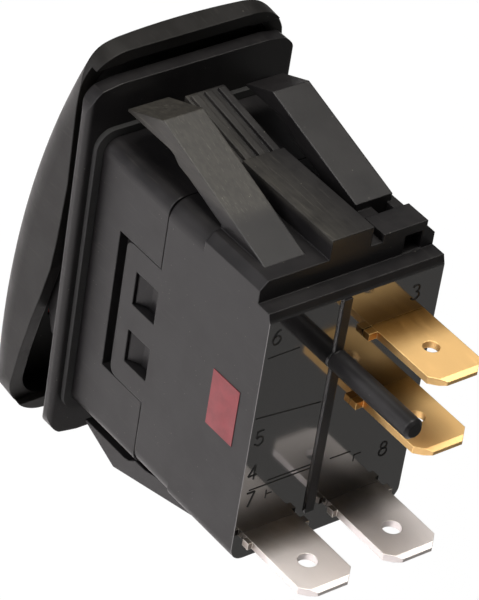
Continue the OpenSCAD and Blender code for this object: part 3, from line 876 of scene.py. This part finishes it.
@dataclass(frozen=True)
class RearMarks:
    """Terminal numbers and thin moulded lines on the rear face, in millimetres.

    Attributes:
        height: Height of a figure.
        hairline: Width and rise of a thin line.
        figures: Each figure's lower corner, in X and Z.
        leaders: The two ends of each thin line, in X and Z.
    """

    height: float = 1.75
    hairline: tuple[float, float] = (0.16, 0.05)
    figures: tuple[tuple[int, float, float], ...] = (
        (6, 9.75, 9.4), (5, 9.75, -2.6), (4, 9.85, -6.8), (7, 9.65, -10.2), (8, -6.6, -10.1),
        (3, -6.8, 9.0))
    leaders: tuple[tuple[tuple[float, float], tuple[float, float]], ...] = (
        ((9.9, 8.0), (6.2, 8.05)), ((10.1, 0.9), (2.3, 0.1)), ((9.4, -8.1), (2.1, -8.15)),
        ((7.3, -7.65), (2.1, -7.7)), ((-0.3, -7.9), (-2.8, -7.95)), ((7.2, -8.9), (7.2, -9.9)),
        ((7.2, -9.4), (6.5, -9.4)), ((-3.4, -8.6), (-4.2, -8.6)), ((-3.4, -8.6), (-3.4, -9.4)))

    @staticmethod
    def strokes(figure: int) -> list[np.ndarray]:
        """The strokes of a plain figure in a box 0.6 wide and 1 high.

        Args:
            figure: The figure, from 3 to 8.

        Returns:
            One path for each stroke.
        """
        shapes = {
            3: [np.concatenate([arc((0.27, 0.74), (0.24, 0.24), 150, -80),
                                arc((0.27, 0.26), (0.28, 0.26), 80, -150)])],
            4: [line((0.42, 0.0), (0.42, 1.0), (0.02, 0.3), (0.58, 0.3))],
            5: [line((0.52, 1.0), (0.12, 1.0), (0.08, 0.56)), arc((0.28, 0.3), (0.28, 0.3), 135, -150)],
            6: [arc((0.3, 0.3), (0.26, 0.28), 0, 360), arc((0.72, 0.34), (0.68, 0.66), 178, 110)],
            7: [line((0.04, 1.0), (0.56, 1.0), (0.22, 0.0))],
            8: [arc((0.3, 0.75), (0.21, 0.23), 0, 360), arc((0.3, 0.27), (0.27, 0.27), 0, 360)],
        }
        return shapes[figure]

    def ribbons(self) -> list[Ribbon]:
        """Places every figure and thin line.

        A figure's stroke goes to corner + height * (-x, z), as it reads from behind.

        Returns:
            The ribbons.
        """
        mirrored = self.height * np.array([-1.0, 1.0])
        made = [Ribbon(np.array([x, z]) + mirrored * stroke)
                for figure, x, z in self.figures for stroke in self.strokes(figure)]
        return made + [Ribbon(line(*ends), *self.hairline) for ends in self.leaders]

    def build(self, material: bpy.types.Material) -> bpy.types.Object:
        """Makes one mesh of all the ribbons.

        Args:
            material: The plastic of the housing.

        Returns:
            The marks' object.
        """
        shapes = [ribbon.surface(REAR_FACE_MM) for ribbon in self.ribbons()]
        starts = np.cumsum([0] + [len(points) for points, _ in shapes[:-1]])
        points = np.concatenate([points for points, _ in shapes]) * MM
        quads = np.concatenate([quads + start for (_, quads), start in zip(shapes, starts)])
        mesh = bpy.data.meshes.new("rear_marks")
        mesh.from_pydata(points.tolist(), [], quads.tolist())
        mesh.materials.append(material)
        marks = bpy.data.objects.new("rear_marks", mesh)
        bpy.context.scene.collection.objects.link(marks)
        return marks


# --------------------------------------------------------------------------- stage


@dataclass(frozen=True)
class Lamp:
    """One soft rectangular lamp that faces the switch.

    Attributes:
        name: Its name.
        place: Where it stands.
        size: Its width and height.
        power: Its power in watts.
        colour: Its colour.
        aim: The point it faces.
    """

    name: str
    place: Point
    size: tuple[float, float]
    power: float
    colour: Colour
    aim: Point = (0.0, 10.0 * MM, 0.0)

    def build(self) -> None:
        """Adds the lamp to the scene."""
        data = bpy.data.lights.new(self.name, "AREA")
        data.shape = "RECTANGLE"
        data.size, data.size_y = self.size
        data.energy = self.power
        data.color = self.colour
        lamp = bpy.data.objects.new(self.name, data)
        bpy.context.scene.collection.objects.link(lamp)
        lamp.location = self.place
        facing = Vector(self.aim) - Vector(self.place)
        lamp.rotation_euler = facing.to_track_quat("-Z", "Y").to_euler()


@dataclass(frozen=True)
class Studio:
    """Floor, lamps, world and camera.

    Attributes:
        place: Where the camera stands.
        right: The direction to the camera's right.
        up: The direction up from it.
        lens: Its focal length in millimetres.
        sensor: Its sensor's height in millimetres.
        shift: How far the frame is shifted across and up.
        clip: The nearest and farthest depth it sees.
        floor_z: Height of the floor.
        floor_reach: How far the floor goes each way.
        floor_white: How much of the floor's white the camera sees.
        floor_near: The floor's tone as light, before the switch.
        floor_far: Its tone behind the switch.
        floor_fade: Y - X at which it has faded to the far tone.
        world_light: The world's strength as light.
        lamps: The lamps.
    """

    place: Point = (197.9 * MM, 230.78 * MM, 219.81 * MM)
    right: Point = (-0.7998, 0.5862, 0.1287)
    up: Point = (-0.2765, -0.5503, 0.7879)
    lens: float = 151.54
    sensor: float = 24.0
    shift: tuple[float, float] = (0.026, 0.0411)
    clip: tuple[float, float] = (0.01, 20.0)
    floor_z: float = -90.0 * MM
    floor_reach: float = 3.0
    floor_white: float = 0.98
    floor_near: Colour = (0.85, 0.83, 0.85)
    floor_far: Colour = (0.12, 0.12, 0.12)
    floor_fade: float = 140.0 * MM
    world_light: float = 0.12
    lamps: tuple[Lamp, ...] = (
        Lamp("key", (1.1, -0.1, 0.7), (0.9, 0.9), 16.0, (1.0, 0.98, 1.0)),
        Lamp("top", (-0.15, 0.1, 1.2), (0.8, 0.8), 22.0, (1.0, 0.97, 0.92)),
        Lamp("side", (1.2, -0.3, -0.1), (0.7, 0.8), 4.0, (1.0, 0.97, 1.0)),
    )

    def camera(self) -> None:
        """Adds the camera at the stored place and angle."""
        data = bpy.data.cameras.new("camera")
        data.sensor_fit = "VERTICAL"
        data.sensor_height = self.sensor
        data.lens = self.lens
        data.shift_x, data.shift_y = self.shift
        data.clip_start, data.clip_end = self.clip
        camera = bpy.data.objects.new("camera", data)
        bpy.context.scene.collection.objects.link(camera)
        right = Vector(self.right).normalized()
        up = Vector(self.up)
        up = (up - right * up.dot(right)).normalized()
        back = right.cross(up)
        turn = Matrix((right, up, back)).transposed().to_4x4()
        camera.matrix_world = Matrix.Translation(Vector(self.place)) @ turn
        bpy.context.scene.camera = camera

    def world(self) -> None:
        """Sets the world: white to the camera, and dim as light."""
        world = bpy.data.worlds.new("studio")
        bpy.context.scene.world = world
        world.use_nodes = True
        sheet = NodeSheet(world.node_tree)
        lit, seen = (sheet.add("ShaderNodeBackground") for _ in range(2))
        for background, strength in ((lit, self.world_light), (seen, 1.0)):
            background.inputs["Color"].default_value = WHITE
            background.inputs["Strength"].default_value = strength
        output = sheet.add("ShaderNodeOutputWorld")
        sheet.link(sheet.split_by_ray(lit, seen), output.inputs["Surface"])

    def floor(self) -> None:
        """Adds the pale floor, well below the switch.

        The camera sees it white, with a trace of its own shading. As light, it fades to dark behind the
        switch, where Y - X grows, so that the polished rear face reflects the blades and not the floor.
        """
        mesh = bpy.data.meshes.new("floor")
        corners = np.array([[-1, -1], [1, -1], [1, 1], [-1, 1]]) * self.floor_reach
        points = np.column_stack([corners, np.full(4, self.floor_z)])
        mesh.from_pydata(points.tolist(), [], [(0, 1, 2, 3)])
        floor = bpy.data.objects.new("floor", mesh)
        bpy.context.scene.collection.objects.link(floor)
        material = bpy.data.materials.new("pale_floor")
        material.use_nodes = True
        sheet = NodeSheet(material.node_tree)
        matte = sheet.add("ShaderNodeBsdfDiffuse")
        axes = sheet.axes(sheet.add("ShaderNodeTexCoord").outputs["Object"])
        away = sheet.ramp(sheet.math("SUBTRACT", axes["Y"], axes["X"]), 0.0, self.floor_fade)
        sheet.feed(matte.inputs["Color"], sheet.mix(away, self.floor_near, self.floor_far))
        white = sheet.add("ShaderNodeEmission")
        white.inputs["Color"].default_value = WHITE
        output = sheet.add("ShaderNodeOutputMaterial")
        sheet.link(sheet.split_by_ray(matte, white, self.floor_white), output.inputs["Surface"])
        mesh.materials.append(material)

    def build(self) -> None:
        """Sets up the whole stage."""
        self.world()
        self.floor()
        for lamp in self.lamps:
            lamp.build()
        self.camera()
        bpy.context.scene.view_settings.view_transform = "Standard"


# --------------------------------------------------------------------------- the switch


# Both platings are painted darker at the root as shade, and brighter at cut edges as a glint.
BRASS = PlatedBlade("brass_plate")
TIN = PlatedBlade("tin_plate", colour=srgb(230, 224, 222), root=srgb(104, 94, 82),
                  edge=srgb(250, 246, 236))
STEEL = SimpleGloss("spring_steel", srgb(176, 176, 180), srgb(150, 150, 154), roughness=0.3,
                    metallic=1.0)
RUBBER = SimpleGloss("black_rubber", srgb(16, 16, 16), srgb(21, 21, 20), roughness=0.75, scale=700.0,
                     relief=0.1)
NYLON = SimpleGloss("white_nylon", srgb(224, 222, 214), srgb(208, 206, 198), roughness=0.4)
CLEAR = SimpleGloss("clear_lens", srgb(214, 218, 220), srgb(196, 202, 206), roughness=0.12)


@dataclass(frozen=True)
class SubAssembly:
    """A group of the switch's pieces that are dressed together.

    Attributes:
        finishes: What builds the finishes and gives them to the pieces.
    """

    finishes: Finishes

    def dress(self) -> None:
        """Gives each of the group's pieces its finish."""
        raise NotImplementedError


@dataclass(frozen=True)
class Housing(SubAssembly):
    """The base with its raised and printed marks, the bezel frame, the gasket and the seal.

    Attributes:
        base: The base's plastic, polished at the rear face, with light painted on its top and stronger
            hairlines there.
        bezel: The bezel frame's plastic.
        relief: The raised marks' plastic.
        ink: The printed mark's ink.
    """

    # Painted light on the base's top, from 16.8 mm up.
    base: Finish = MouldedPlastic("base_plastic", gloss_from=REAR_FACE_MM * MM, painted_light_and_wear_above=16.8 * MM)
    bezel: Finish = MouldedPlastic("bezel_plastic")
    relief: Finish = MouldedPlastic("relief_plastic", colour=srgb(10, 10, 10), pale=srgb(18, 17, 16),
                                    roughness=0.6, edge_painted_highlight=0.0)
    ink: Finish = SimpleGloss("red_ink", srgb(122, 46, 51), srgb(110, 40, 45), roughness=0.55)

    def dress(self) -> None:
        """Dresses the housing and adds the raised marks to its rear face."""
        use = self.finishes.dress
        use(self.base, "base_housing")
        use(self.bezel, "bezel_frame")
        marks = RearMarks().build(self.finishes.material(self.relief))
        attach(marks, "body")
        LOG.info("added %s with %s", marks.name, self.relief.name)
        use(RUBBER, "panel_gasket", "seal_diaphragm")
        use(self.ink, "red_mark")


@dataclass(frozen=True)
class RockerGroup(SubAssembly):
    """The rocker with its lenses, its hinge pins, and the plunger and spring inside it.

    Attributes:
        rocker: The rocker's plastic.
        red: The lower lens's plastic.
    """

    rocker: Finish = MouldedPlastic("rocker_plastic", colour=srgb(15, 14, 12), roughness=0.46,
                                    grain=0.12, sheen=0.22)
    red: Finish = SimpleGloss("red_lens", srgb(150, 26, 22), srgb(122, 18, 16), roughness=0.12)

    def dress(self) -> None:
        """Dresses the rocker and what it carries."""
        use = self.finishes.dress
        use(self.rocker, "rocker")
        use(CLEAR, "lens_upper")
        use(self.red, "lens_lower")
        use(STEEL, "hinge_pin_left", "hinge_pin_right", "plunger_spring")
        use(NYLON, "plunger")


@dataclass(frozen=True)
class Contacts(SubAssembly):
    """The four terminal blades, the teetering blade and the two contact buttons."""

    def dress(self) -> None:
        """Dresses the metal that carries the load."""
        use = self.finishes.dress
        use(BRASS, "terminal_2", "terminal_3", "contact_blade")
        use(TIN, "terminal_7", "terminal_8", "moving_contact", "fixed_contact")


@dataclass(frozen=True)
class LampGroup(SubAssembly):
    """The lamp in its holder, with its leads and their resistor.

    Attributes:
        lacquer: The resistor's coat.
    """

    lacquer: Finish = SimpleGloss("resistor_lacquer", srgb(206, 184, 140), srgb(188, 164, 120),
                                  roughness=0.3)

    def dress(self) -> None:
        """Dresses the lamp and its wiring."""
        use = self.finishes.dress
        use(CLEAR, "led_lamp")
        use(NYLON, "lamp_holder")
        use(TIN, "lamp_lead_a", "lamp_lead_b")
        use(self.lacquer, "resistor")


def main() -> None:
    """Loads the part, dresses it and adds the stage."""
    logging.basicConfig(level=logging.INFO, format="%(name)s: %(message)s")
    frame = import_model()
    finishes = Finishes(frame["nodes"])
    for group in (Housing, RockerGroup, Contacts, LampGroup):
        group(finishes).dress()
    Studio().build()
    LOG.info("size report written")


if __name__ == "__main__":
    main()
